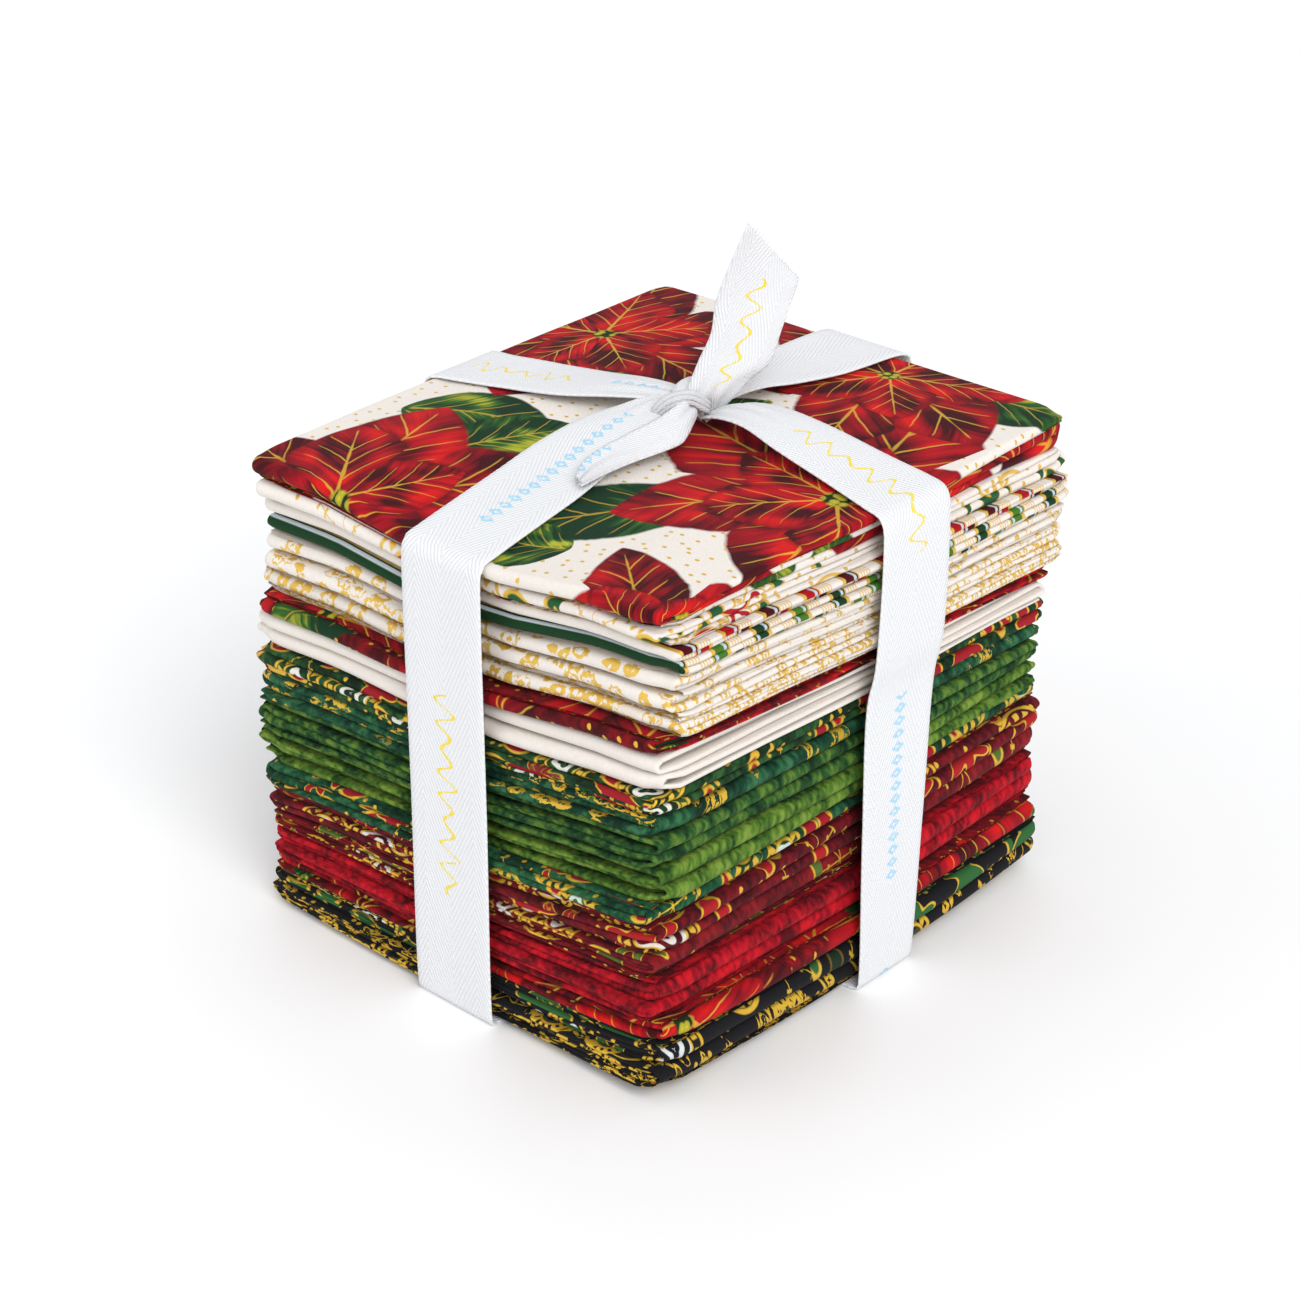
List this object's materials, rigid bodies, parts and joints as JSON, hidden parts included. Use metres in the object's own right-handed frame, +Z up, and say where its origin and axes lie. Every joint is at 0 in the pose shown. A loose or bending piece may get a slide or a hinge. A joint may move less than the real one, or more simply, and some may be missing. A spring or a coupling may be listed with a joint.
{
  "type": "fat quarter bundle",
  "caption": "Near-cube stack of folded printed quilting cottons, tied both ways with white twill tape, with a knot and two free ends on top.",
  "frame": {"origin": "middle of the outline's box, on the plane that the underside rests on", "axes": "+Z up through the stack, -Y towards the side that the lying free end points to, +X to its right"},
  "size_m": [0.1524, 0.1592, 0.1789],
  "materials": {
    "black_gold": "matte",
    "black_ornament": "matte",
    "poinsettia_low": "matte",
    "red_low": "matte",
    "red_mid": "matte",
    "red_dark": "matte",
    "brown_ornament": "matte",
    "teal_ornament": "matte",
    "green_light": "matte",
    "green_leaf": "matte",
    "teal_gold": "matte",
    "green_ornament": "matte",
    "cream_plain": "matte",
    "poinsettia_mid": "matte",
    "gold_heavy": "matte",
    "gold_motif": "matte",
    "gold_sparse": "matte",
    "plaid": "matte",
    "cream_mixed": "matte",
    "poinsettia_top": "matte",
    "ribbon": "matte"
  },
  "bodies": {
    "root": {"black_gold": "black_gold", "black_ornament": "black_ornament", "poinsettia_low": "poinsettia_low", "red_low": "red_low", "red_mid": "red_mid", "red_dark": "red_dark", "brown_ornament": "brown_ornament", "teal_ornament": "teal_ornament", "green_light": "green_light", "green_leaf": "green_leaf", "teal_gold": "teal_gold", "green_ornament": "green_ornament", "cream_plain": "cream_plain", "poinsettia_mid": "poinsettia_mid", "gold_heavy": "gold_heavy", "gold_motif": "gold_motif", "gold_sparse": "gold_sparse", "plaid": "plaid", "cream_mixed": "cream_mixed", "poinsettia_top": "poinsettia_top", "ribbon_front_back": "ribbon", "ribbon_left_right": "ribbon", "ribbon_knot": "ribbon", "ribbon_end_standing": "ribbon", "ribbon_end_lying": "ribbon"}
  },
  "joints": []
}
